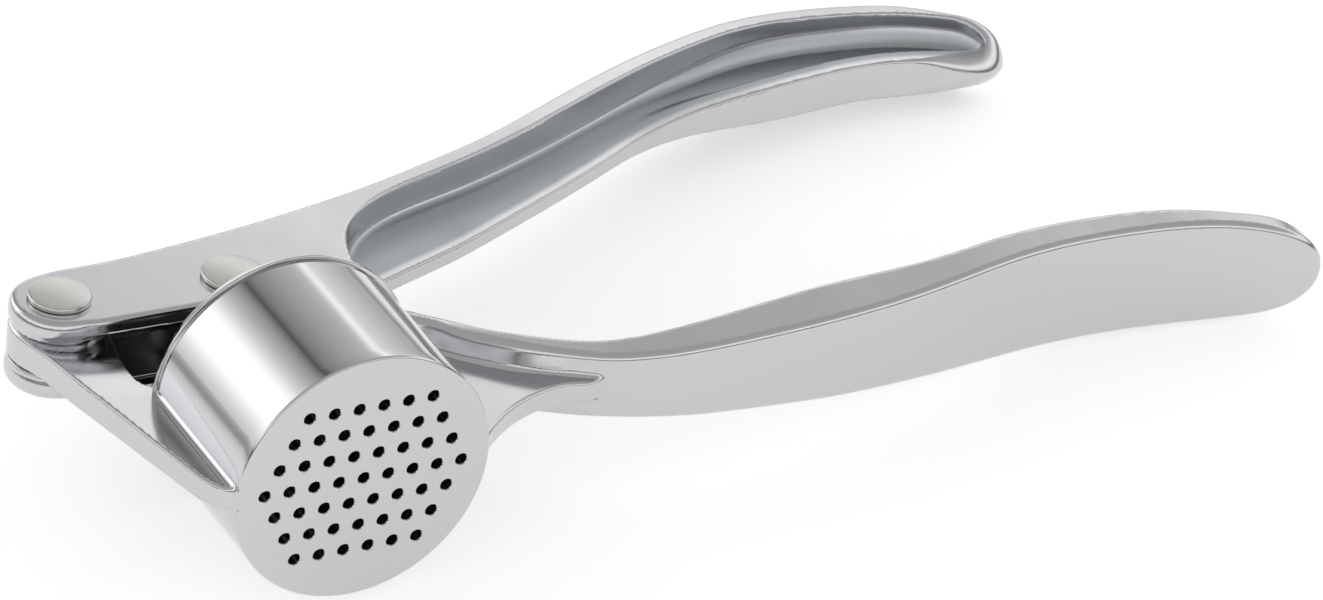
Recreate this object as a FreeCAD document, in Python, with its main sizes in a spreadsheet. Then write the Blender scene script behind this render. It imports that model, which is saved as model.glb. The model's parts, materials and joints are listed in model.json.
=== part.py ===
"""Garlic press: two die-cast handles on one hinge rivet, a perforated cup and a riveted plunger.

Everything is drawn in the press's own plane first: the cup's axis is Y with the perforated
face at Y = 0 and the mouth towards +Y, the rivets stand along Z, the grips run towards +X,
and Z = 0 is the plane of symmetry. One placement then lays the whole press on its side, on
the rim of its cup and the ends of its two grips, with the floor at Z = 0.
"""
import FreeCAD, Part
import math
import os
import Sketcher
from FreeCAD import Placement, Rotation, Vector

DIMENSIONS = {
    # cup, cast in one with the lower handle
    "cup_radius": 18.0, "cup_depth": 26.0, "cup_bore": 16.9, "cup_floor": 2.0,
    "rim_radius": 18.5, "rim_band": 1.8,
    "hole_radius": 0.8, "hole_pitch": 3.5, "row_pitch": 3.56,
    # hinge and its rivet
    "hinge_back": 23.7, "hinge_rise": 42.6, "rivet_radius": 2.5, "rivet_clear": 0.05,
    "head_radius": 4.2, "head_height": 1.1, "boss_radius": 6.4,
    # lower handle
    "tongue_half": 2.45, "plate_half": 1.8, "lower_reach": 133.0, "lower_wall": 3.6,
    "lower_height": 8.4, "lower_depth": 10.0, "web_half": 1.2,
    # upper handle
    "fork_half": 5.9, "hub_gap": 2.55, "cheek": 2.3, "upper_reach": 161.0,
    "upper_rise": 33.0, "upper_wall": 2.8, "upper_height": 6.6, "upper_depth": 12.0,
    "flange_half": 3.0, "flange_thick": 2.8,
    # plunger and its rivet
    "arm_length": 24.07, "arm_angle": -4.5, "plunger_length": 31.1, "disc_radius": 14.6,
    "disc_thick": 3.0, "lug_half": 3.3, "lug_radius": 5.0, "stem_foot": 8.0,
}

doc = FreeCAD.newDocument("garlic_press")
sheet = doc.addObject("Spreadsheet::Sheet", "sizes")
for row, (alias, number) in enumerate(DIMENSIONS.items(), start=1):
    sheet.set(f"A{row}", alias)
    sheet.set(f"B{row}", str(number))
    sheet.setAlias(f"B{row}", alias)
doc.recompute()


def size(alias):
    """The sheet's present number for one driving dimension."""
    return float(sheet.get(alias))


def bind(target, **expressions):
    """Tie properties of an object to the sheet; names in the expressions are cell aliases."""
    for prop, text in expressions.items():
        for alias in sorted(DIMENSIONS, key=len, reverse=True):
            text = text.replace(f"<{alias}>", f"sizes.{alias}")
        target.setExpression(prop, text)


# ---------------------------------------------------------------- plane geometry

HINGE = Vector(-size("hinge_back"), size("hinge_rise"), 0)
ARM_ANGLE = math.radians(size("arm_angle"))
PIN = HINGE + Vector(math.cos(ARM_ANGLE), math.sin(ARM_ANGLE), 0) * size("arm_length")
BEYOND = 40.0          # how far a cutting tool reaches past the metal


def spline(points):
    """Smooth curve through a few points."""
    curve = Part.BSplineCurve()
    curve.interpolate([Vector(*p) for p in points])
    return curve


def side_rail(rail, fractions, offsets):
    """Curve beside a rail: at each fraction of its length it stands off by that offset."""
    points = []
    for part, offset in zip(fractions, offsets):
        at = rail.parameterAtDistance(part * rail.length(), rail.FirstParameter)
        along = rail.tangent(at)[0]
        normal = Vector(-along.y, along.x, 0)
        points.append(rail.value(at) + normal * offset)
    return spline(points)


def plate(outline, low, high):
    """Solid of a closed plane outline (edges in order), from one height to another."""
    edges = [e if isinstance(e, Part.Edge) else e.toShape() for e in outline]
    face = Part.Face(Part.Wire(Part.__sortEdges__(edges)))
    face.translate(Vector(0, 0, low))
    return face.extrude(Vector(0, 0, high - low))


def band(first, second, low, high, bulge=0.0):
    """Solid between two rails that run the same way; its far end may bulge into an arc."""
    near = Part.LineSegment(first.StartPoint, second.StartPoint)
    a, b = first.EndPoint, second.EndPoint
    if bulge:
        out = first.tangent(first.LastParameter)[0] * bulge
        far = Part.Arc(a, (a + b) * 0.5 + out, b)
    else:
        far = Part.LineSegment(a, b)
    return plate([first, second, near, far], low, high)


def side_profile(points, middle):
    """Solid whose half height follows the points (x, half height), mirrored below Z = 0.

    It is level between the first two points and smooth from there on.
    """
    (start, first), (turn, second) = points[:2]
    upper = spline([(x, 0, half) for x, half in points[1:]])
    lower = spline([(x, 0, -half) for x, half in points[1:]])
    lines = [(Vector(turn, 0, second), Vector(start, 0, first)),
             (Vector(start, 0, first), Vector(start, 0, -first)),
             (Vector(start, 0, -first), Vector(turn, 0, -second))]
    if points[-1][1] > 0:
        lines.append((upper.EndPoint, lower.EndPoint))
    edges = [upper.toShape(), lower.toShape()]
    edges += [Part.LineSegment(a, b).toShape() for a, b in lines]
    face = Part.Face(Part.Wire(Part.__sortEdges__(edges)))
    face.translate(Vector(0, middle - BEYOND * 2, 0))
    return face.extrude(Vector(0, BEYOND * 4, 0))


def drum(centre, radius, low, high):
    """Cylinder along Z."""
    return Part.makeCylinder(radius, high - low, Vector(centre.x, centre.y, low))


def both_sides(tool):
    """A solid and its mirror image in the plane of symmetry."""
    return [tool, tool.mirror(Vector(0, 0, 0), Vector(0, 0, 1))]


def feature(name, shape):
    """Document object that carries a shape made by this file's own functions."""
    made = doc.addObject("Part::Feature", name)
    made.Shape = shape
    return made


# ---------------------------------------------------------------- cup

def origin_plane(body, role):
    """One of a body's own origin planes."""
    return next(f for f in body.Origin.OriginFeatures if f.Role == role)


def closed_sketch(body, name, role, corners):
    """Sketch of a closed polygon on an origin plane; returns the sketch."""
    sketch = body.newObject("Sketcher::SketchObject", name)
    sketch.AttachmentSupport = (origin_plane(body, role), [""])
    sketch.MapMode = "FlatFace"
    count = len(corners)
    for start, end in zip(corners, corners[1:] + corners[:1]):
        sketch.addGeometry(Part.LineSegment(Vector(*start, 0), Vector(*end, 0)), False)
    for side in range(count):
        sketch.addConstraint(Sketcher.Constraint("Coincident", side, 2, (side + 1) % count, 1))
    return sketch


def place_corners(sketch, expressions):
    """Fix each corner of a polygon sketch by two distances to the origin, read from the sheet."""
    for side, (across, along) in enumerate(expressions):
        for kind, text in (("DistanceX", across), ("DistanceY", along)):
            here = sketch.getPoint(side, 1)
            now = here.x if kind == "DistanceX" else here.y
            index = sketch.addConstraint(Sketcher.Constraint(kind, -1, 1, side, 1, now))
            if text is not None:
                bind(sketch, **{f"Constraints[{index}]": text})


def cup_body():
    """Cup wall, floor and rim band turned about Y, with the perforations pocketed through."""
    body = doc.addObject("PartDesign::Body", "cup")
    wall, depth, bore = size("cup_radius"), size("cup_depth"), size("cup_bore")
    floor, rim, band_height = size("cup_floor"), size("rim_radius"), size("rim_band")
    corners = [(0, 0), (wall, 0), (wall, depth - band_height), (rim, depth - band_height),
               (rim, depth), (bore, depth), (bore, floor), (0, floor)]
    profile = closed_sketch(body, "cup_profile", "XY_Plane", corners)
    below_band = "<cup_depth> - <rim_band>"
    place_corners(profile, [
        (None, None), ("<cup_radius>", None), ("<cup_radius>", below_band),
        ("<rim_radius>", below_band), ("<rim_radius>", "<cup_depth>"),
        ("<cup_bore>", "<cup_depth>"), ("<cup_bore>", "<cup_floor>"), (None, "<cup_floor>")])
    turned = body.newObject("PartDesign::Revolution", "cup_turned")
    turned.Profile = profile
    turned.ReferenceAxis = (profile, ["V_Axis"])
    turned.Angle = 360
    doc.recompute()
    before = body.Shape.Volume
    holes = body.newObject("Sketcher::SketchObject", "perforations")
    holes.AttachmentSupport = (origin_plane(body, "XZ_Plane"), [""])
    holes.MapMode = "FlatFace"
    middle_row, longest = 3, 9
    for line in range(-middle_row, middle_row + 1):
        count = longest - abs(line)
        for place in range(count):
            across = (place - (count - 1) / 2) * size("hole_pitch")
            centre = Vector(across, line * size("row_pitch"), 0)
            holes.addGeometry(Part.Circle(centre, Vector(0, 0, 1), size("hole_radius")), False)
    cut = body.newObject("PartDesign::Pocket", "perforated")
    cut.Profile = holes
    cut.Type = 1
    cut.Midplane = False
    cut.Reversed = False
    doc.recompute()
    if body.Shape.Volume > before - 1.0:
        cut.Reversed = True
        doc.recompute()
    assert body.Shape.Volume < before - 1.0, "the perforations cut nothing"
    return body


# ---------------------------------------------------------------- lower handle

LOWER_RAIL = [(0.034, 0.180), (0.089, 0.115), (0.156, 0.072), (0.256, 0.049), (0.373, 0.0465),
              (0.496, 0.052), (0.617, 0.071), (0.729, 0.083), (0.865, 0.074), (1.0, 0.041)]


def lower_palm_rail():
    """Palm side of the lower grip: out of the cup's mouth, down to the palm, out to the end."""
    reach = size("lower_reach")
    first = (size("cup_radius") - 0.8, size("cup_depth") + 3.0, 0)
    return spline([first] + [(size("cup_radius") + reach * x, reach * y, 0)
                             for x, y in LOWER_RAIL])


def lower_grip_shape():
    """Palm wall with a mid web and a low finger flange behind it, rounded at its end."""
    rail = lower_palm_rail()
    wall, depth, web = size("lower_wall"), size("lower_depth"), size("web_half")
    shares = [0, 0.1, 0.22, 0.36, 0.5, 0.62, 0.74, 0.86, 0.95, 1.0]
    thick = [wall, wall, wall * 1.25, wall * 1.5, wall * 1.5, wall * 1.3, wall, wall, wall, wall]
    deep = [wall, wall, depth * 0.8, depth, depth, depth, depth, depth, depth * 0.9, depth * 0.7]
    back_of_wall = side_rail(rail, shares, thick)
    back_of_web = side_rail(rail, shares, deep)
    tall = band(rail, back_of_wall, -BEYOND / 2, BEYOND / 2)
    thin = band(rail, back_of_web, -web, web)
    whole = tall.fuse(thin)
    height = size("lower_height")
    end = rail.EndPoint.x
    span = size("lower_reach")
    halves = [(size("cup_radius") * 0.7, 5.0), (40, 5.0), (55, 5.8), (74, 6.9),
              (end - span * 0.39, height * 0.95), (end - span * 0.25, height),
              (end - span * 0.11, height * 0.99), (end - 5, height * 0.82),
              (end - 1.2, height * 0.45), (end, 0)]
    return whole.common(side_profile(halves, 0))


def tongue_shape():
    """Flat plate from the hinge boss down to the cup, with the hub that fills the fork."""
    cup, boss = size("cup_radius"), size("boss_radius") - 0.2
    half = size("plate_half")
    outer_top = HINGE + Vector(-boss * 0.985, -boss * 0.17, 0)
    inner_top = HINGE + Vector(boss * 0.99, -boss * 0.1, 0)
    outer_low = Vector(-cup - 2.6, 6.0, 0)
    foot = Vector(-cup * 0.97, 0.6, 0)
    inside = Vector(-cup * 0.95, 2.0, 0)
    inner_low = Vector(-cup * 0.95, size("cup_depth"), 0)
    corners = [outer_top, outer_low, foot, inside, inner_low, inner_top]
    edges = [Part.LineSegment(a, b) for a, b in zip(corners, corners[1:] + corners[:1])]
    blade = plate(edges, -half, half)
    return blade.fuse(drum(HINGE, boss, -size("tongue_half"), size("tongue_half")))


def gusset_shape():
    """Web in the middle plane between the cup's far side and the palm wall."""
    cup, half = size("cup_radius"), size("plate_half")
    rail = lower_palm_rail()
    meets = rail.value(rail.parameterAtDistance(rail.length() * 0.19, rail.FirstParameter))
    near_cup = Vector(cup * 0.98, 1.2, 0)
    curve = Part.Arc(near_cup, (near_cup + meets) * 0.5 + Vector(-1.2, 1.6, 0), meets)
    start = rail.value(rail.parameterAtDistance(rail.length() * 0.02, rail.FirstParameter))
    inside = Vector(cup * 0.95, size("cup_depth") * 0.9, 0)
    lines = [(meets, meets + Vector(0.5, 1.5, 0)), (meets + Vector(0.5, 1.5, 0), start),
             (start, inside), (inside, near_cup)]
    return plate([curve] + [Part.LineSegment(a, b) for a, b in lines], -half, half)


def lower_handle():
    """The lower casting: cup, tongue, gusset and grip in one, bored for the hinge rivet."""
    cup = cup_body()
    extras = tongue_shape().fuse([gusset_shape(), lower_grip_shape()])
    depth, bore = size("cup_depth"), size("cup_bore")
    hollow = Part.makeCylinder(bore, BEYOND * 2, Vector(0, size("cup_floor"), 0), Vector(0, 1, 0))
    skin = Part.makeCylinder(size("cup_radius") - 0.4, size("cup_floor"), Vector(0, 0, 0),
                             Vector(0, 1, 0))
    mouth = Part.makeBox(BEYOND * 1.2, BEYOND, BEYOND, Vector(-10, depth, -BEYOND / 2))
    hole = drum(HINGE, size("rivet_radius") + size("rivet_clear"), -BEYOND, BEYOND)
    arms = feature("lower_arms", extras.cut([hollow, skin, mouth, hole]))
    joined = doc.addObject("Part::Fuse", "lower_handle")
    joined.Base, joined.Tool = cup, arms
    joined.Refine = True
    return joined


# ---------------------------------------------------------------- upper handle

UPPER_RAIL = [(0.0, 0.0), (0.09, 0.02), (0.20, 0.10), (0.36, 0.275), (0.51, 0.535),
              (0.67, 0.87), (0.815, 1.0), (0.94, 0.915), (1.0, 0.74)]


def upper_palm_rail():
    """Palm side of the upper grip, from over the hinge rivet to the rounded end."""
    reach, rise, boss = size("upper_reach"), size("upper_rise"), size("boss_radius")
    return spline([(HINGE.x + reach * x, HINGE.y + boss + rise * y, 0) for x, y in UPPER_RAIL])


def upper_handle_shape():
    """The upper casting: a fork over the tongue and the plunger, then a flanged T grip."""
    rail = upper_palm_rail()
    boss, wall, depth = size("boss_radius"), size("upper_wall"), size("upper_depth")
    half, web, flange = size("upper_height"), size("web_half"), size("flange_half")
    shares = [0, 0.12, 0.22, 0.32, 0.42, 0.55, 0.68, 0.80, 0.9, 0.97, 1.0]
    deep = [2.05 * boss, 2.35 * boss, 2.35 * boss, 1.08 * depth, 0.9 * depth, 0.88 * depth,
            0.97 * depth, 1.03 * depth, 0.9 * depth, 0.8 * depth, 0.72 * depth]
    front = side_rail(rail, shares, [-d for d in deep])
    inner_wall = side_rail(rail, shares, [-wall for _ in shares])
    inner_flange = side_rail(rail, shares, [size("flange_thick") - d for d in deep])
    outside = side_rail(rail, shares, [-d - BEYOND / 4 for d in deep])

    solid = band(rail, front, -BEYOND / 2, BEYOND / 2, bulge=2.6)
    solid = solid.fuse(drum(HINGE, boss, -BEYOND / 2, BEYOND / 2))
    end, fork = rail.EndPoint.x, size("fork_half")
    heights = [(HINGE.x - boss - 1, fork), (HINGE.x + 42, fork), (HINGE.x + 60, fork * 1.01),
               (HINGE.x + 95, half), (end - 25, half), (end - 8, half * 0.95),
               (end - 1, half * 0.78), (end + 3, half * 0.5)]
    solid = solid.common(side_profile(heights, HINGE.y))

    # recesses on both faces of the web, open to the fingers up to the flange
    start_x, flange_x, close_x = PIN.x + 19.5, HINGE.x + 104, end - 3.4
    window = Part.makeBox(close_x - start_x, BEYOND * 4, BEYOND, Vector(start_x, 0, web))
    deep_side = band(inner_wall, outside, web, BEYOND).common(window)
    beside = Part.makeBox(BEYOND * 6, BEYOND * 4, BEYOND, Vector(flange_x, 0, -1))
    recess = band(inner_wall, inner_flange, web, BEYOND).common(window).common(beside)
    open_side = deep_side.cut(beside)
    over_flange = band(inner_wall, outside, flange, BEYOND).common(window).common(beside)
    cuts = both_sides(recess) + both_sides(open_side) + both_sides(over_flange)

    # fork: the channel between the cheeks, closed at the back past the hinge
    inside = fork - size("cheek")
    back = HINGE.y + boss - wall
    channel_end = PIN.x + size("lug_radius") + 8.0
    channel = Part.makeBox(channel_end - HINGE.x + BEYOND, back - (HINGE.y - BEYOND),
                           2 * inside, Vector(HINGE.x - BEYOND, HINGE.y - BEYOND, -inside))
    mouth = Part.makeBox(BEYOND + boss + 2, BEYOND * 2, 2 * inside,
                         Vector(HINGE.x - BEYOND, HINGE.y - BEYOND, -inside))
    solid = solid.cut(cuts + [channel, mouth])
    gap = size("hub_gap")
    hubs = both_sides(drum(HINGE, boss, gap, fork))
    solid = solid.fuse(hubs)
    bore = size("rivet_radius") + size("rivet_clear")
    return solid.cut([drum(HINGE, bore, -BEYOND, BEYOND), drum(PIN, bore, -BEYOND, BEYOND)])


# ---------------------------------------------------------------- plunger and rivets

PLUNGER_TILT = 2.0     # degrees: the plunger leans a little in the part-closed press


def plunger_body():
    """Disc with a coned back, a flat stem and a lug, drawn with its pin at the origin."""
    body = doc.addObject("PartDesign::Body", "plunger")
    length, disc, thick = size("plunger_length"), size("disc_radius"), size("disc_thick")
    foot, lug = size("stem_foot"), size("lug_half")
    corners = [(0, -length), (disc - 1.0, -length), (disc, 1.0 - length), (disc, thick - length),
               (lug + 1.5, thick + foot - length), (0, thick + foot - length)]
    profile = closed_sketch(body, "foot_profile", "XY_Plane", corners)
    top = "<disc_thick> + <stem_foot> - <plunger_length>"
    place_corners(profile, [
        (None, "-<plunger_length>"), ("<disc_radius> - 1", "-<plunger_length>"),
        ("<disc_radius>", "1 - <plunger_length>"),
        ("<disc_radius>", "<disc_thick> - <plunger_length>"),
        ("<lug_half> + 1.5", top), (None, top)])
    turned = body.newObject("PartDesign::Revolution", "foot")
    turned.Profile = profile
    turned.ReferenceAxis = (profile, ["V_Axis"])
    turned.Angle = 360
    doc.recompute()

    stem = body.newObject("Sketcher::SketchObject", "stem_outline")
    stem.AttachmentSupport = (origin_plane(body, "XY_Plane"), [""])
    stem.MapMode = "FlatFace"
    radius = size("lug_radius")
    low = thick + 1.0 - length
    stem.addGeometry([
        Part.ArcOfCircle(Part.Circle(Vector(0, 0, 0), Vector(0, 0, 1), radius), 0, math.pi),
        Part.LineSegment(Vector(-radius, 0, 0), Vector(-radius, low, 0)),
        Part.LineSegment(Vector(-radius, low, 0), Vector(radius, low, 0)),
        Part.LineSegment(Vector(radius, low, 0), Vector(radius, 0, 0)),
        Part.Circle(Vector(0, 0, 0), Vector(0, 0, 1), size("rivet_radius")),
    ], False)
    rules = [("Coincident", 0, 2, 1, 1), ("Coincident", 1, 2, 2, 1), ("Coincident", 2, 2, 3, 1),
             ("Coincident", 3, 2, 0, 1), ("Coincident", 0, 3, -1, 1), ("Coincident", 4, 3, -1, 1),
             ("Vertical", 1), ("Vertical", 3), ("Horizontal", 2)]
    for rule in rules:
        stem.addConstraint(Sketcher.Constraint(*rule))
    for kind, where, now, text in (
            ("Radius", (0,), radius, "<lug_radius>"),
            ("Radius", (4,), size("rivet_radius"), "<rivet_radius> + <rivet_clear>"),
            ("DistanceY", (-1, 1, 2, 1), low, "<disc_thick> + 1 - <plunger_length>")):
        index = stem.addConstraint(Sketcher.Constraint(kind, *where, now))
        bind(stem, **{f"Constraints[{index}]": text})
    pad = body.newObject("PartDesign::Pad", "stem")
    pad.Profile = stem
    pad.Midplane = True
    bind(pad, Length="2 * <lug_half>")
    doc.recompute()
    body.Placement = Placement(PIN, Rotation(Vector(0, 0, 1), PLUNGER_TILT))
    return body


def rivet_body(name, centre):
    """Rivet turned about Z: a shank through the fork and a low domed head on each cheek."""
    body = doc.addObject("PartDesign::Body", name)
    shank, half = size("rivet_radius"), size("fork_half")
    head, height = size("head_radius"), size("head_height")
    corners = [(0, -half - height), (head - 0.5, -half - height), (head, 0.5 - half - height),
               (head, -half), (shank, -half), (shank, half), (head, half),
               (head, half + height - 0.5), (head - 0.5, half + height), (0, half + height)]
    profile = closed_sketch(body, f"{name}_profile", "XZ_Plane", corners)
    inner, outer = "<fork_half>", "<fork_half> + <head_height>"
    edge, flat = f"{outer} - 0.5", "<head_radius> - 0.5"
    place_corners(profile, [
        (None, f"-({outer})"), (flat, f"-({outer})"), ("<head_radius>", f"-({edge})"),
        ("<head_radius>", f"-({inner})"), ("<rivet_radius>", f"-({inner})"),
        ("<rivet_radius>", inner), ("<head_radius>", inner), ("<head_radius>", edge),
        (flat, outer), (None, outer)])
    turned = body.newObject("PartDesign::Revolution", f"{name}_turned")
    turned.Profile = profile
    turned.ReferenceAxis = (profile, ["V_Axis"])
    turned.Angle = 360
    doc.recompute()
    body.Placement = Placement(centre, Rotation())
    return body


# ---------------------------------------------------------------- assembly

def resting_normal(groups):
    """Direction away from the floor when each group of points touches the floor once."""
    normal = Vector(0, 0, 1)
    for _ in range(12):
        feet = [min(group, key=lambda p: p.dot(normal)) for group in groups]
        turn = (feet[1] - feet[0]).cross(feet[2] - feet[0])
        turn.normalize()
        normal = turn if turn.z > 0 else turn * -1
    return normal


def outline_points(shape, low_x, high_x):
    """Points of a shape's surface between two X values, close enough together to rest on."""
    return [p for p in shape.tessellate(0.02)[0] if low_x <= p.x <= high_x]


lower = lower_handle()
upper = feature("upper_handle", upper_handle_shape())
plunger = plunger_body()
hinge_rivet = rivet_body("hinge_rivet", HINGE)
plunger_rivet = rivet_body("plunger_rivet", PIN)
pieces = [lower, upper, plunger, hinge_rivet, plunger_rivet]
doc.recompute()

rim_points = outline_points(lower.Shape, -30, 20)
grip_points = outline_points(lower.Shape, 60, 400)
normal = resting_normal([rim_points, grip_points, outline_points(upper.Shape, 60, 400)])
upright = Rotation(normal, Vector(0, 0, 1))
lay = Placement(Vector(0, 0, 0), upright)
boxes = [p.Shape.copy() for p in pieces]
for box in boxes:
    box.transformShape(lay.toMatrix(), True)
bound = FreeCAD.BoundBox()
for box in boxes:
    bound.add(box.optimalBoundingBox(False, False))
shift = Vector(-bound.Center.x, -bound.Center.y, -bound.ZMin)
lay = Placement(shift, upright)
for piece in pieces:
    piece.Label = piece.Name
    piece.Placement = lay.multiply(piece.Placement)
doc.recompute()

for item in doc.Objects:
    if "Invalid" in item.State or "Error" in item.State:
        raise RuntimeError(f"{item.Name} did not recompute")
os.makedirs("parts", exist_ok=True)
for piece in pieces:
    shape = piece.Shape
    if shape.isNull() or not shape.isValid() or not shape.Solids:
        raise RuntimeError(f"{piece.Label} has no valid solid")
    print(piece.Label, len(shape.Solids), "solid, volume", round(shape.Volume, 1))
    shape.exportStep(f"parts/{piece.Label}.step")
axis = upright.multVec(Vector(0, 0, 1))
print("hinge", lay.multVec(HINGE), "pin", lay.multVec(PIN), "axis", axis)
print("cup face centre", lay.multVec(Vector(0, 0, 0)), "cup axis", upright.multVec(Vector(0, 1, 0)))
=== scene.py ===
"""Looks of the garlic press: two chromed castings, a cast plunger and two steel rivets.

Shapes are worked out in millimetres in the press's own axes: X from the cup towards the
grips, Y from the cup's perforated face towards its mouth, Z along the rivets, and Z = 0 is
the plane of symmetry. One turn and shift takes them to the CAD frame.
"""
import bpy
import json
import math
import numpy as np
from mathutils import Matrix


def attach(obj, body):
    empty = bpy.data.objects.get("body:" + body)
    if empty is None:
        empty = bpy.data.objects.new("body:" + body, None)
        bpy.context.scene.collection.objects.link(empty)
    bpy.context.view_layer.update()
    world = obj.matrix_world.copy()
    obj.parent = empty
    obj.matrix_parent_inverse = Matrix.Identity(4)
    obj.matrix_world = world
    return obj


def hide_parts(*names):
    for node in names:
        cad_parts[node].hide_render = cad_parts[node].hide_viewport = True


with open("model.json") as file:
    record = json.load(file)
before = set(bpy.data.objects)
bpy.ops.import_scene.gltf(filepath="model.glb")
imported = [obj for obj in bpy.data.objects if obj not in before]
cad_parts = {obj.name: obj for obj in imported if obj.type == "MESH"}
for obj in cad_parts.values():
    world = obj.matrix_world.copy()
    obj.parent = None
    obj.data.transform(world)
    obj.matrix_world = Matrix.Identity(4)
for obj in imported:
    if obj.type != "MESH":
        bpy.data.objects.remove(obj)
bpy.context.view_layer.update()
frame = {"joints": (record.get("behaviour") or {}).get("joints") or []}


# ======================================================================= lower casting
# The lower handle is one zinc die casting, polished and chromed: a flat tongue with the hinge
# boss, a gusset behind the cup, and a palm wall with a middle web along its back. Every inside
# corner has the fillet that the mould needs, and every outside edge is rounded by polishing.

HINGE = np.array([-23.7, 42.6])         # hinge rivet in the press's own X and Y
PIN = np.array([0.30, 40.71])           # plunger rivet
CUP_R, CUP_TOP, BORE_R = 18.0, 26.0, 16.9
RIVET_BORE = 2.55                       # radius of the holes for the rivets
BOSS_R = 6.4                            # round end of both handles at the hinge

# Half thicknesses along the rivets, then the radii of the edges and of the inside corners.
ROOT_HALF, WEB_HALF, GUSSET_HALF, TONGUE_HALF, EYE_HALF = 5.2, 1.2, 1.6, 1.75, 2.45
WALL_EDGE, WEB_EDGE, GUSSET_EDGE, TONGUE_EDGE, EYE_EDGE = 0.9, 0.6, 0.55, 0.4, 0.8
WEB_FILLET, GUSSET_FILLET, CUP_FILLET, EYE_FILLET = 1.6, 0.6, 0.3, 0.6
TONGUE_FILLETS = (0.1, 0.9)             # at the cup's rim, and what it gains lower down
EYE_INSET = 0.15                        # the tongue's round end stands inside the fork's
LOWER_STEP = 0.36                       # grid of the mesh


def press_axes():
    """The press's X, Y and Z axes and its origin in the CAD frame, from the two joints.

    Z is the hinge's axis. X is the line from hinge to plunger rivet, turned back about Z by
    the slope that this line has in the press's own axes.
    """
    joint = {j["name"]: j for j in frame["joints"]}
    hinge, pin = (np.array(joint[n]["pos_m"]) for n in ("handle_hinge", "plunger_pivot"))
    z = np.array(joint["handle_hinge"]["axis"])
    z /= np.linalg.norm(z)
    arm = (pin - hinge) / np.linalg.norm(pin - hinge)
    slope = math.atan2(PIN[1] - HINGE[1], PIN[0] - HINGE[0])
    x = math.cos(slope) * arm - math.sin(slope) * np.cross(z, arm)
    y = np.cross(z, x)
    return np.array([x, y, z]), hinge - 0.001 * (HINGE[0] * x + HINGE[1] * y)


AXES, ORIGIN = press_axes()


def closed_curve(points, spacing=0.2):
    """Cubic spline round a loop of points: dense samples, unit tangents and curvatures.

    The parameter is the chord length; the second derivatives at the points are the solution
    of the periodic spline's linear equations.
    """
    p = np.asarray(points, float)
    if np.sum(p[:, 0] * np.roll(p[:, 1], -1) - p[:, 1] * np.roll(p[:, 0], -1)) < 0:
        p = p[::-1]
    n = len(p)
    h = np.linalg.norm(np.roll(p, -1, 0) - p, axis=1)
    before = np.roll(h, 1)
    lines = np.diag(2 * (h + before))
    i = np.arange(n)
    lines[i, (i + 1) % n] += h
    lines[i, (i - 1) % n] += before
    slope = (np.roll(p, -1, 0) - p) / h[:, None]
    bend = np.linalg.solve(lines, 6 * (slope - np.roll(slope, 1, 0)))
    counts = np.maximum(2, np.ceil(h / spacing).astype(int))
    piece = np.repeat(i, counts)
    t = (np.concatenate([np.arange(c) / c for c in counts]) * h[piece])[:, None]
    m0, m1, w = bend[piece], bend[(piece + 1) % n], h[piece][:, None]
    first = slope[piece] - w * (2 * m0 + m1) / 6
    at = p[piece] + first * t + m0 / 2 * t**2 + (m1 - m0) / (6 * w) * t**3
    speed = first + m0 * t + (m1 - m0) / (2 * w) * t**2
    turn = m0 + (m1 - m0) / w * t
    size = np.linalg.norm(speed, axis=1, keepdims=True)
    curvature = (speed[:, 0] * turn[:, 1] - speed[:, 1] * turn[:, 0]) / size[:, 0] ** 3
    return at, speed / size, curvature


def outline(points, margin=6.0, pitch=0.5):
    """Signed distance to a smooth closed outline, negative inside, as a function of (x, y).

    It is tabled on a grid: the nearest sample's offset along the outward normal, corrected
    by half the curvature times the square of the offset along the tangent. Between the
    grid's points it is read with Catmull-Rom weights in both directions.
    """
    at, tangent, curvature = closed_curve(points)
    low = at.min(0) - margin
    count = np.ceil((at.max(0) + margin - low) / pitch).astype(int) + 1
    gx, gy = (low[k] + pitch * np.arange(count[k]) for k in (0, 1))
    where = np.stack(np.meshgrid(gx, gy, indexing="ij"), -1).reshape(-1, 2)
    nearest = np.concatenate([
        np.argmin((q[:, :1] - at[:, 0]) ** 2 + (q[:, 1:] - at[:, 1]) ** 2, axis=1)
        for q in np.array_split(where, max(1, len(where) // 4000))])
    off = where - at[nearest]
    t = tangent[nearest]
    beside = off[:, 0] * t[:, 0] + off[:, 1] * t[:, 1]
    out = off[:, 0] * t[:, 1] - off[:, 1] * t[:, 0]
    table = (out + 0.5 * curvature[nearest] * beside**2).reshape(count)

    def weights(u):     # Catmull-Rom weights of four neighbours, at u past the second
        return (((-0.5 * u + 1.0) * u - 0.5) * u, (1.5 * u - 2.5) * u * u + 1.0,
                ((-1.5 * u + 2.0) * u + 0.5) * u, (0.5 * u - 0.5) * u * u)

    def distance(x, y):
        x, y = np.broadcast_arrays(x, y)
        u = np.clip((x - low[0]) / pitch, 1.0, count[0] - 2.001)
        v = np.clip((y - low[1]) / pitch, 1.0, count[1] - 2.001)
        i, j = u.astype(int), v.astype(int)
        wu, wv = weights(u - i), weights(v - j)
        inside = sum(wu[a] * sum(wv[b] * table[i + a - 1, j + b - 1] for b in range(4))
                     for a in range(4))
        return inside + np.hypot(x - (low[0] + u * pitch), y - (low[1] + v * pitch))

    return distance


def join(a, b, radius):
    """Union of two solids, with a round fillet in the corner between them."""
    return (np.maximum(radius, np.minimum(a, b))
            - np.hypot(np.maximum(radius - a, 0), np.maximum(radius - b, 0)))


def meet(a, b, radius):
    """What two solids share, with the edge between them rounded."""
    return -join(-a, -b, radius)


def ramp(x, start, end):
    """0 before start, 1 after end, and a smooth cubic between; end may be the smaller."""
    t = np.clip((x - start) / (end - start), 0, 1)
    return t * t * (3 - 2 * t)


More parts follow.
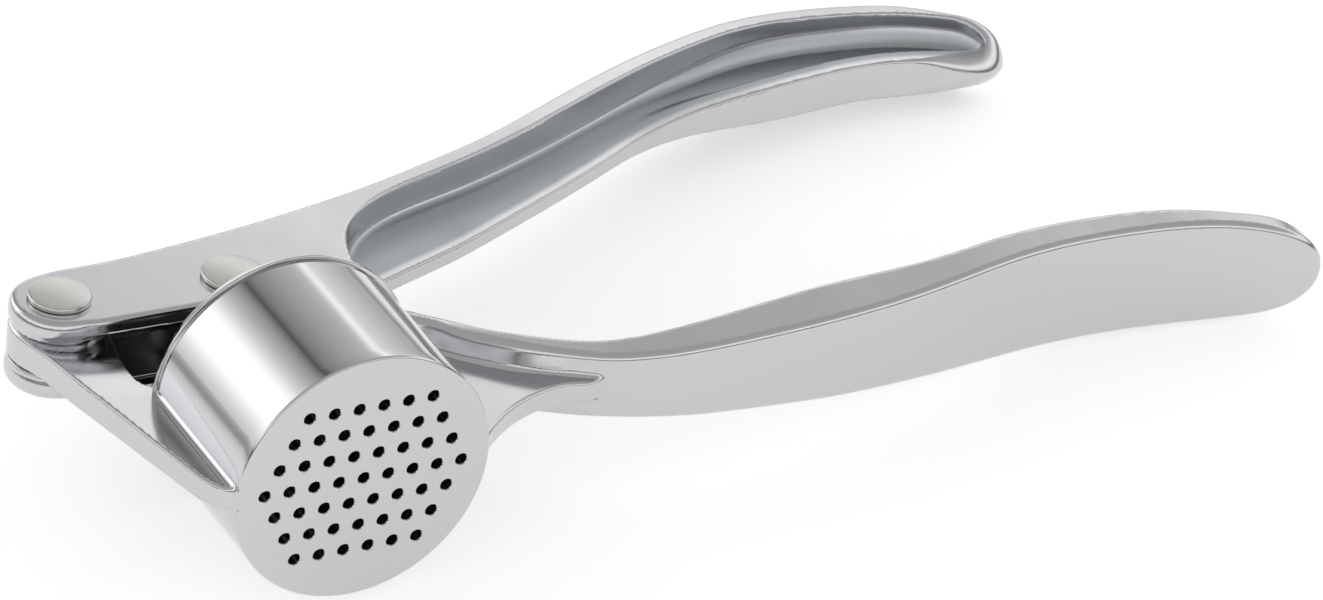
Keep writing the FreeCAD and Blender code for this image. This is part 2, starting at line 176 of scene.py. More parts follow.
def arc_points(centre, radius, first, last, count):
    """Points on an arc between two angles in degrees."""
    turn = np.radians(np.linspace(first, last, count))
    return [tuple(p) for p in centre + radius * np.stack([np.cos(turn), np.sin(turn)], 1)]


palm_line = [(19.6, 25.0), (22.4, 22.6), (25.9, 19.0), (29.8, 15.5), (34.3, 12.3), (38.7, 9.9),
             (45.1, 7.8), (52.3, 6.6), (62, 6.15), (74.7, 6.2), (83.8, 6.9), (91.3, 7.9),
             (100.1, 9.4), (108.8, 10.6), (117.2, 11.0), (125.2, 10.7), (133, 9.8),
             (141, 8.0), (149, 5.6)]
back_line = [(151, 7.2), (143, 10.4), (134.7, 12.6), (127.4, 14.1), (119.8, 14.8),
             (111.6, 14.9), (103.1, 14.3), (95, 13.3), (87.5, 12.9), (79.5, 12.8),
             (71.4, 12.6), (63.5, 12.1), (55.2, 11.7), (46.2, 11.9), (40.2, 13.0),
             (35.6, 14.9), (31.2, 17.6), (27.3, 20.7), (23.8, 24.2), (21.2, 26.2)]
wall_plan = outline([(16.6, 26.0)] + palm_line + [(152.4, 5.4)] + back_line + [(18.4, 27.2)])
half_heights = [(x, ROOT_HALF) for x in (12, 20, 30, 40)]
half_heights += [(52, 5.75), (62, 6.3), (75, 7.0), (88, 7.6), (100, 8.3), (112, 8.6), (124, 8.6),
                 (134, 8.45), (141, 7.9), (147.2, 6.5), (151.2, 3.7)]
wall_side = outline(half_heights + [(152.6, 0)] + [(x, -h) for x, h in half_heights[::-1]])
web_plan = outline([(36, 14.5), (60, 9.5), (90, 10.3), (115, 12.6), (133, 12), (141, 11),
                    (144, 12), (141, 15.2), (134, 18.4), (125, 20.4), (115, 20.8), (104, 19.6),
                    (92, 17.6), (75, 16.2), (60, 15.4), (49, 14.8), (41, 15.4), (37.4, 15.6)])
gusset_plan = outline([(12, 1.2), (17.6, 0.8), (19.2, 2.3), (21.5, 4.3), (25.0, 6.7), (28.8, 8.4),
                       (32.0, 9.3), (35.3, 9.4), (38.2, 8.9), (39.6, 9.6), (38.6, 11.4),
                       (34, 14.4), (28, 19), (23, 23.8), (18, 25.4), (12, 24), (9, 14)])
tongue_plan = outline(arc_points(HINGE, BOSS_R - EYE_INSET, -8, 190, 8)
                      + [(-28.7, 37), (-27.4, 31.5), (-26.2, 26.2), (-25.0, 21), (-23.9, 16),
                         (-22.8, 11.2), (-21.8, 7), (-20.7, 3.4), (-18.8, 1.0), (-15, 0.8),
                         (-12, 8), (-12.5, 18), (-14.6, 24), (-18.3, 26.3), (-19.1, 30),
                         (-18.4, 36)])
CROWN = 0.011           # the palm face bulges by this times Z squared
STRIP_LEAN = 0.13       # fall of the grip's narrow sides, towards the palm
STRIP_MIDDLE = 2.8      # the lean turns about a line this far behind the palm
ROOT_SLOPE = 0.5        # near the cup, the palm side thickens towards the gusset
TONGUE_TAPER = 0.05     # each side of the tongue falls away towards the cup
TAPER_X = -22           # from the thickness that it has at this X


def front_edge(x):
    """Y of the palm line at an X, by straight steps between its points."""
    return np.interp(x, *np.array(palm_line).T)


def lower_casting(x, y, z):
    """Signed distance to the lower casting: joined tongue, boss, gusset, palm wall and web.

    Each part is what its plan and its half thickness share, and the bores are taken off last.
    """
    cup = np.maximum(np.hypot(x, z) - CUP_R, np.abs(y - CUP_TOP / 2) - CUP_TOP / 2)
    tall = np.abs(z)
    front = wall_plan(x, y - CROWN * z * z)
    lean = STRIP_LEAN * ramp(x, 20, 40) * np.clip(front_edge(x) + STRIP_MIDDLE - y, -4, 4)
    root = ROOT_SLOPE * np.maximum(ROOT_HALF - tall, 0) * ramp(x, 38, 24)
    front = np.minimum(front, wall_plan(x, y + root))
    wall = meet(front, wall_side(x, tall + lean), WALL_EDGE)
    web = meet(web_plan(x, y), tall - WEB_HALF, WEB_EDGE)
    gusset = meet(gusset_plan(x, y), tall - GUSSET_HALF, GUSSET_EDGE)
    taper = TONGUE_TAPER * np.clip(x - TAPER_X, -6, 8)
    tongue = meet(tongue_plan(x, y), tall - TONGUE_HALF + taper, TONGUE_EDGE)
    boss = np.hypot(x - HINGE[0], y - HINGE[1])
    eye = meet(boss - BOSS_R + EYE_INSET, tall - EYE_HALF, EYE_EDGE)
    tongue = join(tongue, eye, EYE_FILLET)
    solid = join(join(wall, web, WEB_FILLET), gusset, GUSSET_FILLET)
    solid = join(solid, cup, CUP_FILLET)
    solid = join(solid, tongue, TONGUE_FILLETS[0] + TONGUE_FILLETS[1] * ramp(y, 25.5, 22))
    solid = meet(solid, BORE_R + 0.02 - np.hypot(x, z), 0.15)
    return meet(solid, RIVET_BORE - boss, 0.2)


def skin(field, low, high, step, keep=None):
    """Quads over the zero surface of a field, with the field's own gradient as normals.

    A grid cell whose corners differ in sign gets one vertex, the mean of its edges' zero
    crossings; a grid edge whose ends differ gets one quad between its four cells. The
    vertices are then moved along the gradient until the field is zero. Quads none of whose
    corners pass `keep` are left out.
    """
    low, high = np.array(low, float), np.array(high, float)
    axes = [np.arange(a, b + step, step) for a, b in zip(low, high)]
    value = field(axes[0][:, None, None], axes[1][None, :, None], axes[2][None, None, :])
    below = value < 0
    corners = [np.array(c) for c in np.ndindex(2, 2, 2)]
    shape = np.array(value.shape) - 1

    def shifted(array, c):
        return array[c[0]:c[0] + shape[0], c[1]:c[1] + shape[1], c[2]:c[2] + shape[2]]

    filled = sum(shifted(below, c).astype(np.int8) for c in corners)
    mixed = (filled > 0) & (filled < 8)
    number = np.full(shape, -1)
    number[mixed] = np.arange(mixed.sum())
    cell = np.argwhere(mixed)
    total, hits = np.zeros((len(cell), 3)), np.zeros((len(cell), 1))
    for axis in range(3):
        along = np.eye(3, dtype=int)[axis]
        for c in corners:
            if c[axis]:
                continue
            a, b = (value[tuple((cell + o).T)] for o in (c, c + along))
            crossing = (a < 0) != (b < 0)
            t = np.where(crossing, a / np.where(crossing, a - b, 1), 0)[:, None]
            total += crossing[:, None] * (cell + c + t * along)
            hits += crossing[:, None]
    points = low + step * total / hits

    quads = []
    for axis in range(3):
        u, v = (axis + 1) % 3, (axis + 2) % 3
        start = np.array(below.shape)
        start[axis] -= 1
        a = below[tuple(slice(0, s) for s in start)]
        b = np.roll(below, -1, axis)[tuple(slice(0, s) for s in start)]
        edge = np.argwhere(a != b)
        edge = edge[(edge[:, u] > 0) & (edge[:, v] > 0)
                    & (edge[:, u] < shape[u]) & (edge[:, v] < shape[v])]
        around = []
        for du, dv in ((1, 1), (0, 1), (0, 0), (1, 0)):
            q = edge.copy()
            q[:, u] -= du
            q[:, v] -= dv
            around.append(number[tuple(q.T)])
        quad = np.stack(around, 1)
        flip = ~below[tuple(edge.T)]
        quad[flip] = quad[flip][:, ::-1]
        quads.append(quad)
    quads = np.concatenate(quads)

    def gradient(p, reach=0.03):    # central differences
        sides = [[field(*(p + s * reach * np.eye(3)[k]).T) for s in (1, -1)] for k in range(3)]
        return np.stack([(a - b) / (2 * reach) for a, b in sides], 1)

    def settle(p):      # Newton steps along the gradient
        for _ in range(3):
            slope = gradient(p)
            size = np.maximum(np.sum(slope**2, 1), 0.2)
            p = p - slope * np.clip(field(*p.T) / size, -step, step)[:, None]
        return p

    points = settle(points)
    # Each vertex goes half way to its neighbours' mean and back to the surface, twice.
    pairs = np.concatenate([quads[:, [k, (k + 1) % 4]] for k in range(4)])
    for _ in range(2):
        mean, share = np.zeros_like(points), np.bincount(pairs[:, 0], minlength=len(points))
        for k in range(3):
            mean[:, k] = np.bincount(pairs[:, 0], points[pairs[:, 1], k], len(points))
        points = settle(points + 0.5 * (mean / np.maximum(share, 1)[:, None] - points))
    if keep is not None:
        quads = quads[keep(*points.T)[quads].any(1)]
        used = np.unique(quads)
        quads, points = np.searchsorted(used, quads), points[used]
    slope = gradient(points)
    return points, quads, slope / np.linalg.norm(slope, axis=1, keepdims=True)


def add_piece(name, points, faces, normals=None):
    """Makes a mesh object from millimetre points in the press's axes, placed in the CAD frame."""
    mesh = bpy.data.meshes.new(name)
    mesh.from_pydata((0.001 * points @ AXES + ORIGIN).tolist(), [],
                     faces if isinstance(faces, list) else faces.tolist())
    mesh.validate()
    mesh.polygons.foreach_set("use_smooth", np.ones(len(mesh.polygons), bool))
    if normals is not None:
        mesh.normals_split_custom_set_from_vertices((normals @ AXES).tolist())
    made = bpy.data.objects.new(name, mesh)
    bpy.context.scene.collection.objects.link(made)
    return made


def mark_dull_and_shaded(made, share):
    """Stores, for each vertex, how far the mop fell short there and how much painted shade it
    gets: 0 polished and unshaded, 1 rough and painted dark.
    """
    at = np.empty(3 * len(made.data.vertices))
    made.data.vertices.foreach_get("co", at)
    values = share(*((at.reshape(-1, 3) - ORIGIN) @ AXES.T * 1000).T)
    made.data.attributes.new("dull_and_painted_shade", "FLOAT", "POINT").data.foreach_set(
        "value", np.clip(values, 0, 1).astype(np.float32))


def srgb(code):
    """Linear RGBA of an sRGB hex colour."""
    parts = [int(code[k:k + 2], 16) / 255 for k in (1, 3, 5)]
    return [c / 12.92 if c <= 0.04045 else ((c + 0.055) / 1.055) ** 2.4 for c in parts] + [1.0]


def add_node(tree, kind, settings=None, links=None):
    """Adds a node; settings go to its properties or input values, links to its inputs."""
    made = tree.nodes.new(kind)
    for key, content in (settings or {}).items():
        if isinstance(key, str) and hasattr(made, key):
            setattr(made, key, content)
        else:
            made.inputs[key].default_value = content
    for key, socket in (links or {}).items():
        tree.links.new(socket, made.inputs[key])
    return made


UNPOLISHED_ROUGH = 0.15         # what an unpolished spot adds to the roughness
PATCH_MM = 9.0                  # size of the patches that the mop leaves more or less bright


def chrome(name, colour, sheen_range, wave_mm, wave_height, grain_mm, grain_height,
           painted_shade_colour="#A6A9AB"):
    """Chrome plate over a casting: waves left by polishing, fine grain, uneven polish.

    Roughness wanders between the two ends of sheen_range from patch to patch. Where the
    mesh's attribute for dull, shaded spots is 1, the plate is rougher and its colour is painted
    darker towards the given shade colour: painted shade in recesses and bores.
    mesh's "unpolished" attribute is 1, the plate is rougher and has the colour of
    `painted_shade_colour`.
    """
    made = bpy.data.materials.new(name)
    made.use_nodes = True
    tree = made.node_tree
    metal = tree.nodes["Principled BSDF"]
    metal.inputs["Metallic"].default_value = 1.0
    dull_and_shade = add_node(tree, "ShaderNodeAttribute", {"attribute_name": "dull_and_painted_shade"}).outputs["Fac"]
    # The base colour darkens towards the shade colour where the mesh marks it: painted shade.
    plate = add_node(tree, "ShaderNodeMix",
                     {"data_type": "RGBA", "A": srgb(colour), "B": srgb(painted_shade_colour)}, {"Factor": dull_and_shade})
    tree.links.new(plate.outputs["Result"], metal.inputs["Base Color"])
    place = add_node(tree, "ShaderNodeTexCoord").outputs["Object"]
    patches, waves, grains = (
        add_node(tree, "ShaderNodeTexNoise",
                 {"Scale": 1000 / size_mm, "Detail": detail, "Roughness": 0.55},
                 {"Vector": place}).outputs["Fac"]
        for size_mm, detail in ((PATCH_MM, 3.0), (wave_mm, 1.0), (grain_mm, 2.0)))
    polish = add_node(tree, "ShaderNodeMapRange",
                      {"From Min": 0.3, "From Max": 0.7,
                       "To Min": sheen_range[0], "To Max": sheen_range[1]},
                      {"Value": patches})
    rough = add_node(tree, "ShaderNodeMath", {"operation": "MULTIPLY_ADD", 1: UNPOLISHED_ROUGH},
                     {0: dull_and_shade, 2: polish.outputs["Result"]})
    tree.links.new(rough.outputs["Value"], metal.inputs["Roughness"])
    wave = add_node(tree, "ShaderNodeBump", {"Strength": 1.0, "Distance": wave_height / 1000},
                    {"Height": waves})
    grain = add_node(tree, "ShaderNodeBump", {"Strength": 1.0, "Distance": grain_height / 1000},
                     {"Height": grains, "Normal": wave.outputs["Normal"]})
    tree.links.new(grain.outputs["Normal"], metal.inputs["Normal"])
    return made


# Polished zinc under bright chrome: soft mirror, a little wavy where the mop has dragged.
polished = chrome("chrome_on_polished_casting", "#C6C7C9", (0.12, 0.2), 11.0, 0.03, 0.9, 0.002)

# What would lie inside the cup's wall is left out, as the cup is a mesh of its own.
points, faces, normals = skin(
    lower_casting, (-31.5, -1.5, -9.6), (153, 50.5, 9.6), LOWER_STEP,
    keep=lambda x, y, z: (np.hypot(x, z) > CUP_R + 0.015) | (y > CUP_TOP + 0.05))
arms = add_piece("lower_casting", points, faces, normals)
arms.data.materials.append(polished)
# The mop can't reach beside the web: there the plate is rougher, and its colour is painted darker
# as shade in the channel behind the wall.
mark_dull_and_shaded(arms, lambda x, y, z: ramp(-web_plan(x, y), -0.6, 0.4)
                 * ramp(wall_plan(x, y), 0.2, 1.2) * ramp(y - front_edge(x), 2.5, 3.5))
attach(arms, "lower")
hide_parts("lower_handle")


# ======================================================================= cup
# The cup is part of the lower casting, turned and polished brighter than the grips. Its floor
# is drilled with rows of small holes for the crushed garlic, each with its edge just broken,
# and a narrow bead runs round the mouth.

HOLE_R, HOLE_PITCH, ROW_PITCH = 0.8, 3.5, 3.56
HOLES_PER_ROW = [6, 7, 8, 9, 8, 7, 6]
FLOOR_THICK, FLOOR_FILLET = 2.0, 1.2
RIM_R, RIM_FOOT = 18.5, 24.3            # bead round the mouth, and where it starts
CUP_EDGE = 0.35                         # radius of the cup's edges
CUP_STEPS, DRILL_STEPS = 256, 28        # faces round the cup and round a hole


def rounded(corner, before, after, radius, steps=5):
    """Points of a quarter round at a corner of a profile whose sides are square to each other."""
    corner, before, after = (np.array(p, float) for p in (corner, before, after))
    a = (before - corner) / np.linalg.norm(before - corner)
    b = (after - corner) / np.linalg.norm(after - corner)
    t = np.linspace(0, math.pi / 2, steps + 1)[:, None]
    return [tuple(p) for p in corner + radius * ((1 - np.sin(t)) * a + (1 - np.cos(t)) * b)]


def lathe(profile, around, axis="y"):
    """Surface of revolution: radius and height of the profile carried round the axis.

    The profile starts and ends on the axis; each end becomes one vertex with a fan.
    """
    r, h = np.array(profile[1:-1]).T
    turn = np.linspace(0, 2 * math.pi, around, endpoint=False)
    ring = np.stack([np.outer(r, np.cos(turn)), np.outer(r, np.sin(turn))], -1)
    flat = np.concatenate([ring, np.broadcast_to(h[:, None, None], ring.shape[:2] + (1,))], -1)
    points = np.concatenate([flat.reshape(-1, 3), [[0, 0, profile[0][1]], [0, 0, profile[-1][1]]]])
    i, j = np.meshgrid(np.arange(len(r) - 1), np.arange(around), indexing="ij")
    k = (j + 1) % around
    quads = np.stack([i * around + j, i * around + k, (i + 1) * around + k,
                      (i + 1) * around + j], -1).reshape(-1, 4)
    j = np.arange(around)
    k, last = (j + 1) % around, (len(r) - 1) * around
    fans = [[len(points) - 2, b, a] for a, b in zip(j, k)]
    fans += [[len(points) - 1, a, b] for a, b in zip(last + j, last + k)]
    if axis == "y":
        points = points[:, [1, 2, 0]]
    return points, quads.tolist() + [[int(v) for v in f] for f in fans]


# Round the outside from the middle of the floor: wall, groove under the bead, bead and mouth,
# then down the bore and back to the middle.
cup_profile = [(0, 0), (17.0, 0), (17.3, 0)]
cup_profile += rounded((CUP_R, 0), (0, 0), (CUP_R, 9), CUP_EDGE)
cup_profile += [(CUP_R, 2), (CUP_R, 12), (CUP_R, 23.5), (CUP_R, 23.95), (CUP_R - 0.12, 24.05),
                (CUP_R - 0.12, 24.15), (CUP_R + 0.1, 24.25)]
cup_profile += rounded((RIM_R, RIM_FOOT), (CUP_R, RIM_FOOT), (RIM_R, CUP_TOP), 0.2, 3)
cup_profile += [(RIM_R - 0.78, CUP_TOP - 0.18), (RIM_R - 0.86, CUP_TOP - 0.08),
                (RIM_R - 1.02, CUP_TOP - 0.02), (RIM_R - 1.15, CUP_TOP)]
cup_profile += rounded((BORE_R, CUP_TOP), (20, CUP_TOP), (BORE_R, 0), CUP_EDGE)
cup_profile += [(BORE_R, 25), (BORE_R, 14), (BORE_R, 3.4)]
cup_profile += rounded((BORE_R, FLOOR_THICK), (BORE_R, 9), (0, FLOOR_THICK), FLOOR_FILLET)
cup_profile += [(15.4, FLOOR_THICK), (15.0, FLOOR_THICK), (0, FLOOR_THICK)]
points, faces = lathe(cup_profile, CUP_STEPS)
cup = add_piece("cup", points, faces)

# Each hole is drilled through the floor and countersunk a little on both sides.
drill_profile = [(0, -1.0), (HOLE_R + 1.12, -1.0), (HOLE_R, 0.12), (HOLE_R, FLOOR_THICK - 0.08),
                 (HOLE_R + 1.08, FLOOR_THICK + 1), (0, FLOOR_THICK + 1)]
drill, drill_faces = lathe(drill_profile, DRILL_STEPS)
rows = (np.arange(len(HOLES_PER_ROW)) - (len(HOLES_PER_ROW) - 1) / 2) * ROW_PITCH
spots = [(HOLE_PITCH * (k - (n - 1) / 2), 0, z) for z, n in zip(rows, HOLES_PER_ROW)
         for k in range(n)]
drills = np.concatenate([drill + spot for spot in spots])
drill_faces = [[v + k * len(drill) for v in f] for k in range(len(spots)) for f in drill_faces]
tools = add_piece("cup_drills", drills, drill_faces)
cut = cup.modifiers.new("perforations", "BOOLEAN")
cut.object, cut.operation, cut.solver = tools, "DIFFERENCE", "EXACT"
drilled = cup.evaluated_get(bpy.context.evaluated_depsgraph_get())
finished = bpy.data.meshes.new_from_object(drilled)
cup.modifiers.clear()
cup.data = finished
bpy.data.objects.remove(tools)
cup.data.polygons.foreach_set("use_smooth", np.ones(len(cup.data.polygons), bool))
cup.data.set_sharp_from_angle(angle=math.radians(32))
# Bright chrome over a machined, mopped wall: nearly a mirror.
# The plate hardly reaches the bore and the drilled holes, so they are rougher; their colour is
# painted dark as shade inside the cup and its holes.
mirror = chrome("bright_chrome_on_turned_cup", "#C6C7C8", (0.04, 0.08), 16.0, 0.012, 0.7, 0.0006,
                painted_shade_colour="#4A4B4C")
cup.data.materials.clear()
cup.data.materials.append(mirror)
mark_dull_and_shaded(cup, lambda x, y, z: (np.hypot(x, z) < BORE_R + 0.1) * ramp(y, 0.0, 0.2))
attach(cup, "lower")
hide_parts("lower_handle")


# ======================================================================= upper casting
# The upper handle is the second zinc die casting: a fork of two cheeks over the tongue, then a
# T-shaped grip with a palm wall, a web in the middle plane and a low lip along the web's edge.

CHEEK_HALF, GRIP_GAIN = 5.9, 0.75       # half thickness over the fork, and what the grip adds
SLOT_HALF = 3.6                         # half width of the fork's slot
LIP_HIGH = 1.85                         # lip over the web
HUB_MIDDLE, HUB_HALF = 3.75, 1.2        # low pads inside the fork, round the hinge rivet
UPPER_EDGE, SLOT_CORNER, RECESS_FILLET, HUB_FILLET = 0.35, 0.8, 1.2, 0.7
UPPER_STEP = 0.4                        # grid of the mesh

upper_outline = outline(
    arc_points(HINGE, BOSS_R - 0.05, 262, 100, 7)
    + [(-15.6, 49.5), (-5.0, 50.5), (6.0, 52.1), (17.0, 54.2), (28.0, 56.8), (39.0, 60.0),
       (50, 63.6), (60.0, 67.9), (70.0, 72.4), (79.5, 76.3), (89.0, 79.5), (98.0, 81.7),
       (107.5, 82.4), (117.3, 81.8), (126.5, 79.9), (133.2, 77.1), (137.8, 73.9),
       (139.4, 70.6), (137.9, 67.6), (134.2, 66.6), (127, 68.0), (117.3, 69.7), (106, 69.0),
       (96, 67.9), (87.1, 66.9), (80.5, 65.3), (73, 62.4), (66.6, 59.2), (57.9, 54.9),
       (45.4, 49.1), (35.5, 44.8), (26.3, 41.5), (17.6, 38.3), (9, 36.4), (0, 35.7),
       (-8.4, 35.5), (-16, 35.55)])
recess_plan = outline(
    [(17.3, 33), (17.4, 38.4), (18.1, 41.6), (19.4, 45.2), (21.6, 48.6), (24.9, 51.5),
     (31.0, 54.6), (40.2, 57.4), (51, 61.0), (61, 65.1), (70.9, 69.5), (80.4, 73.5),
     (89.7, 76.7), (98.3, 78.9), (107.5, 79.6), (116.8, 79.0), (125.5, 77.3), (131.4, 74.8),
     (134.9, 72.3), (136.0, 70.0), (134.6, 67.5), (133, 62), (110, 56), (80, 44), (50, 32),
     (24, 26)])


def upper_casting(x, y, z):
    """Signed distance to the upper casting: an edge-rounded body less recesses and fork slot.

    The body's half height grows from the fork to the grip and falls again at the end, most
    of all on the lower side.
    """
    tall = np.abs(z)
    height = CHEEK_HALF + GRIP_GAIN * ramp(x, 22, 75)
    height = height - 3.5 * ramp(x, 112, 124) * (1 - ramp(y, 66.5, 75.0))
    height = height - 0.75 * ramp(x, 96, 132)
    plan = upper_outline(x, y)
    body = meet(plan, tall - height, 0.75 + 2.6 * ramp(x, 124, 138))
    lip = ramp(plan, -4.6, -2.6) * ramp(x, 68, 106)
    floor = WEB_HALF + LIP_HIGH * lip
    recess = meet(recess_plan(x, y), floor - tall, RECESS_FILLET)
    body = meet(body, -recess, UPPER_EDGE)
    slot = meet(np.maximum(x - 13.3, y - 46.2), tall - SLOT_HALF, SLOT_CORNER)
    slot = np.minimum(slot, np.maximum(x - HINGE[0] - 8.4, tall - SLOT_HALF))
    body = meet(body, -slot, UPPER_EDGE)
    boss = np.hypot(x - HINGE[0], y - HINGE[1])
    hubs = meet(boss - BOSS_R + 0.07, np.abs(tall - HUB_MIDDLE) - HUB_HALF, 0.3)
    body = join(body, hubs, HUB_FILLET)
    eye = np.hypot(x - PIN[0], y - PIN[1])
    return meet(meet(body, RIVET_BORE - boss, 0.1), RIVET_BORE - eye, 0.1)


points, faces, normals = skin(upper_casting, (-31.5, 33.5, -7.6), (141, 84, 7.6), UPPER_STEP)
fork = add_piece("upper_casting", points, faces, normals)
fork.data.materials.append(polished)
# The mop can't reach the floor of the recess either: it is rougher there, and painted darker as
# shade in the recess.
mark_dull_and_shaded(fork, lambda x, y, z: ramp(-recess_plan(x, y), -0.1, 0.5)
                 * ramp(-upper_outline(x, y), 0.8, 1.9) * ramp(np.abs(z), 5.2, 4.4))
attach(fork, "upper")
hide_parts("upper_handle")


# ======================================================================= plunger
# The plunger is a small casting that swings in the fork: a round pressing face with a coned
# back, and a flat stem that ends in the eye for its rivet. It is tumbled, not polished.

TILT = math.radians(2.0)                # about its rivet, as it lies at rest
FACE_AT, FACE_R, FACE_THICK = -31.1, 14.6, 3.0
CONE_HIGH, CONE_TOP_R = 8.0, 4.8
STEM_R, STEM_HALF = 5.0, 3.3            # half width (also the eye's radius), half thickness
PLUNGER_STEP = 0.45                     # grid of the mesh


def plunger_casting(x, y, z):
    """Signed distance to the plunger: disc, cone and stem, in axes through its rivet."""
    u = (x - PIN[0]) * math.cos(TILT) + (y - PIN[1]) * math.sin(TILT)
    v = (y - PIN[1]) * math.cos(TILT) - (x - PIN[0]) * math.sin(TILT)
    out = np.hypot(u, z)
    low, top = FACE_AT, FACE_AT + FACE_THICK
    disc = meet(out - FACE_R, np.abs(v - (low + top) / 2) - FACE_THICK / 2, 0.6)
    slope = math.atan2(CONE_HIGH, FACE_R - CONE_TOP_R)
    cone = (out - FACE_R) * math.sin(slope) + (v - top) * math.cos(slope)
    cone = np.maximum(np.maximum(cone, out - FACE_R + 0.2),
                      np.maximum(low + 1 - v, v - top - CONE_HIGH))
    stem = np.maximum(np.abs(u) - STEM_R, np.maximum(low + 1 - v, v))
    stem = np.minimum(stem, np.hypot(u, v) - STEM_R)
    stem = meet(stem, np.abs(z) - STEM_HALF, 0.6)
    solid = join(join(disc, cone, 0.5), stem, 1.5)
    return meet(solid, RIVET_BORE - np.hypot(u, v), 0.2)


points, faces, normals = skin(plunger_casting, (-16, 7.5, -15.5), (17.5, 47.5, 15.5),
                              PLUNGER_STEP)
plunger = add_piece("plunger_casting", points, faces, normals)
# Tumbled zinc under thin chrome: dull satin with a fine pebbled grain.
satin = chrome("satin_chrome_on_tumbled_casting", "#C4C5C6", (0.28, 0.4), 6.0, 0.02, 0.5, 0.003)
plunger.data.materials.append(satin)
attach(plunger, "plunger")
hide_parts("plunger")


# ======================================================================= rivets
# Two solid steel rivets, peened cold after assembly: a straight shank and a low domed head
# at each end. They are left bare, a little warmer and duller than the chrome round them.

SHANK_R, HEAD_R, HEAD_FOOT, HEAD_HIGH = 2.5, 4.25, 5.92, 1.1
DOME_FALL, HEAD_EDGE = 0.28, 0.3
RIVET_STEPS = 72                        # faces round a rivet


def rivet_profile():
    """Half section of a rivet from its lower dome over the shank to its upper dome.

    The dome falls with the square of the radius, and a quarter round takes it to the side.
    """
    flat = HEAD_R - HEAD_EDGE
    dome = [(a, HEAD_FOOT + HEAD_HIGH - DOME_FALL * (a / HEAD_R) ** 2)
            for a in np.linspace(0, 1, 9)[1:] * flat]
    low = dome[-1][1] - HEAD_EDGE
    edge = [(flat + HEAD_EDGE * math.sin(t), low + HEAD_EDGE * math.cos(t))
            for t in np.linspace(0, math.pi / 2, 5)[1:]]
    upper = dome + edge + [(HEAD_R - 0.05, HEAD_FOOT + 0.1), (HEAD_R - 0.2, HEAD_FOOT),
                           (SHANK_R, HEAD_FOOT)]
    top = [(0, HEAD_FOOT + HEAD_HIGH)] + upper
    return [(a, -b) for a, b in top] + top[::-1]


# Bare steel, cold worked: satin, with faint marks of the peening tool.
steel = chrome("bare_peened_steel", "#CDCCC8", (0.22, 0.32), 3.2, 0.03, 0.35, 0.004)
for name, spot in (("hinge_rivet", HINGE), ("plunger_rivet", PIN)):
    points, faces = lathe(rivet_profile(), RIVET_STEPS, axis="z")
    rivet = add_piece(f"{name}_peened", points + [spot[0], spot[1], 0], faces)
    rivet.data.set_sharp_from_angle(angle=math.radians(40))
    rivet.data.materials.append(steel)
    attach(rivet, "upper")
    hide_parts(name)


# ======================================================================= stage and camera
# A plain pale floor, a soft white studio round it, and a long lens from above the cup's side.

FLOOR_REACH = 1.5                       # half the board's width, in metres
FADE_NEAR, FADE_FAR = 0.17, 0.42        # metres out at which the painted pool of light round the press starts and stops falling off to grey
# Strength of the board's glow: painted light that lightens its shadows.
FLOOR_GLOW = 0.46
STUDIO_GAIN = 2.0
SIDE_START, SIDE_FULL = 0.5, 0.66       # share of the frame's Y where panels take over
# Light of the panels behind the press, by their angle in degrees about its Y axis, from the
# right floor edge over the top to the left floor edge: two soft boxes and a black flag.
PANELS = [(0, 0.32), (12, 0.33), (27, 0.43), (40, 0.54), (47, 0.76), (50, 0.60), (53.5, 0.42),
          (60, 0.35), (76, 0.27), (92, 0.17), (96, 0.11), (98.5, 0.07), (100.5, 0.13), (107, 0.26),
          (115, 0.38), (123, 0.55), (131, 0.78), (139, 0.95), (155, 0.95), (163, 0.78), (171, 0.6),
          (180, 0.46)]
# Light of the room in front of it, by the sine of the height: dark low down, one wide box above.
ROOM = [(0, 0.3), (0.05, 0.1), (0.14, 0.1), (0.2, 0.5), (0.34, 0.7), (0.46, 0.62), (0.58, 0.32),
        (0.75, 0.27), (1, 0.26)]

mesh = bpy.data.meshes.new("floor")
mesh.from_pydata([(FLOOR_REACH * a, FLOOR_REACH * b, 0)
                  for a, b in ((-1, -1), (1, -1), (1, 1), (-1, 1))], [], [(0, 1, 2, 3)])
floor = bpy.data.objects.new("floor", mesh)
bpy.context.scene.collection.objects.link(floor)
# Matt painted board with no shine. It glows faintly, painted light that keeps the shadows on it
# pale.
board = bpy.data.materials.new("matt_white_board")
board.use_nodes = True
tree = board.node_tree
paper = tree.nodes["Principled BSDF"]
paper.inputs["Roughness"].default_value = 0.9
place = add_node(tree, "ShaderNodeTexCoord").outputs["Object"]
# The board greys outward from the press: a painted pool of light, the falloff of a spot round it.
far = add_node(tree, "ShaderNodeVectorMath", {"operation": "LENGTH"}, {0: place}).outputs["Value"]
light_pool_falloff = add_node(tree, "ShaderNodeMapRange",
                {"From Min": FADE_NEAR, "From Max": FADE_FAR, "To Min": 1.0, "To Max": 0.25},
                {"Value": far})
light_pool_tone = add_node(tree, "ShaderNodeMix",
                {"data_type": "RGBA", "A": srgb("#6F7170"), "B": srgb("#F6F6F6")},
                {"Factor": light_pool_falloff.outputs["Result"]})
tree.links.new(light_pool_tone.outputs["Result"], paper.inputs["Base Color"])
tree.links.new(light_pool_tone.outputs["Result"], paper.inputs["Emission Color"])
paper.inputs["Emission Strength"].default_value = FLOOR_GLOW
mesh.materials.append(board)

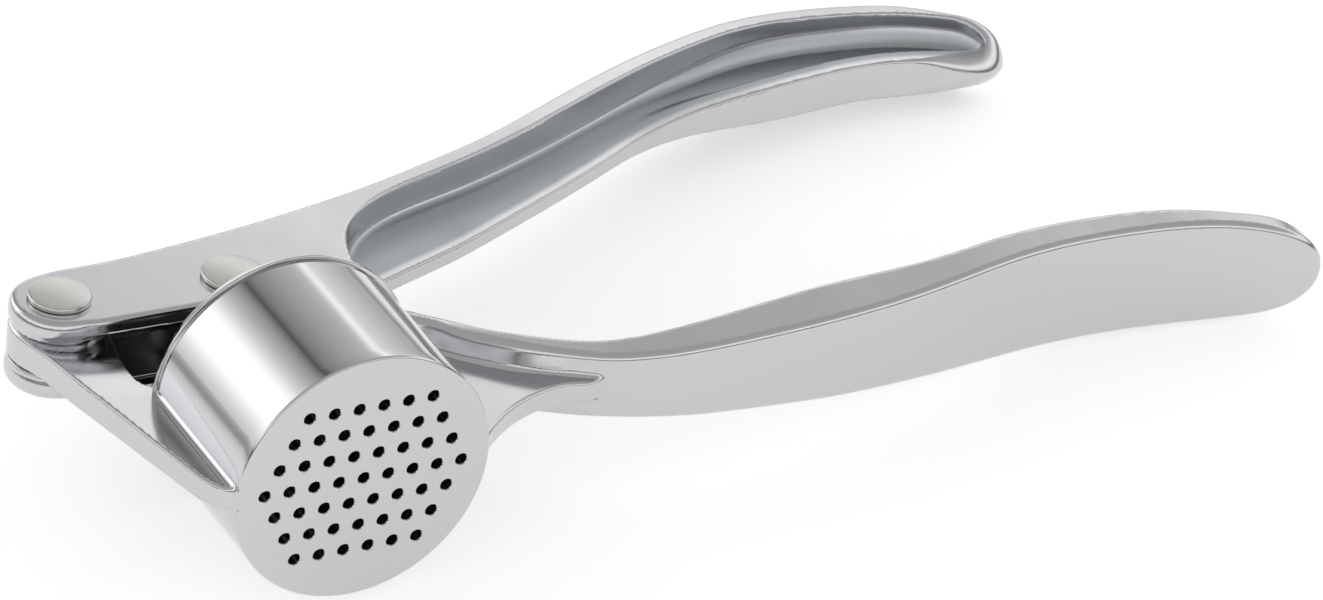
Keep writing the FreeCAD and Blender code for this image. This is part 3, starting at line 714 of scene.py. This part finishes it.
world = bpy.data.worlds.new("studio")
bpy.context.scene.world = world
world.use_nodes = True
sky = world.node_tree
aim = add_node(sky, "ShaderNodeTexCoord").outputs["Generated"]
across, over = (
    add_node(sky, "ShaderNodeVectorMath", {"operation": "DOT_PRODUCT", 1: tuple(AXES[k])},
             {0: aim}).outputs["Value"]
    for k in (0, 2))
around_y = add_node(sky, "ShaderNodeMath", {"operation": "ARCTAN2"}, {0: over, 1: across})
half_turn = add_node(sky, "ShaderNodeMath", {"operation": "DIVIDE", 1: math.pi},
                     {0: around_y.outputs["Value"]})
aimed = add_node(sky, "ShaderNodeSeparateXYZ", None, {0: aim})
panels = add_node(sky, "ShaderNodeValToRGB", None, {"Fac": half_turn.outputs["Value"]})
room = add_node(sky, "ShaderNodeValToRGB", None, {"Fac": aimed.outputs["Z"]})
for made, marks, full in ((panels, PANELS, 180), (room, ROOM, 1)):
    for k, (mark, level) in enumerate(marks):
        stop = made.color_ramp.elements[k] if k < 2 else made.color_ramp.elements.new(1)
        stop.position = mark / full
        stop.color = (level, level, level, 1)
side = add_node(sky, "ShaderNodeMapRange",
                {"From Min": SIDE_START, "From Max": SIDE_FULL}, {"Value": aimed.outputs["Y"]})
mixed = add_node(sky, "ShaderNodeMix", {"data_type": "FLOAT"},
                 {"Factor": side.outputs["Result"], "A": room.outputs["Color"],
                  "B": panels.outputs["Color"]})
light = add_node(sky, "ShaderNodeMath", {"operation": "MULTIPLY", 1: STUDIO_GAIN},
                 {0: mixed.outputs["Result"]})
sky.links.new(light.outputs["Value"], sky.nodes["Background"].inputs["Strength"])
sky.nodes["Background"].inputs["Color"].default_value = srgb("#FFFFFF")
bpy.context.scene.view_settings.view_transform = "Standard"

# The camera's place, in millimetres, and its backward and rightward directions, all in the
# press's own axes. The last two are made square to each other before use.
eye = np.array([-329.82, -563.77, 426.71])
back = np.array([-0.470, -0.715, 0.517])
right = np.array([0.868, -0.480, 0.125])
back /= np.linalg.norm(back)
right -= back * (right @ back)
right /= np.linalg.norm(right)
up = np.cross(back, right)
lens = bpy.data.cameras.new("long_lens")
lens.lens, lens.sensor_width = 166.88, 36.0
lens.clip_start, lens.clip_end = 0.05, 20
camera = bpy.data.objects.new("long_lens", lens)
bpy.context.scene.collection.objects.link(camera)
turn = np.eye(4)
turn[:3, :3] = (np.array([right, up, back]) @ AXES).T
turn[:3, 3] = 0.001 * eye @ AXES + ORIGIN
camera.matrix_world = Matrix(turn.tolist())
bpy.context.scene.camera = camera
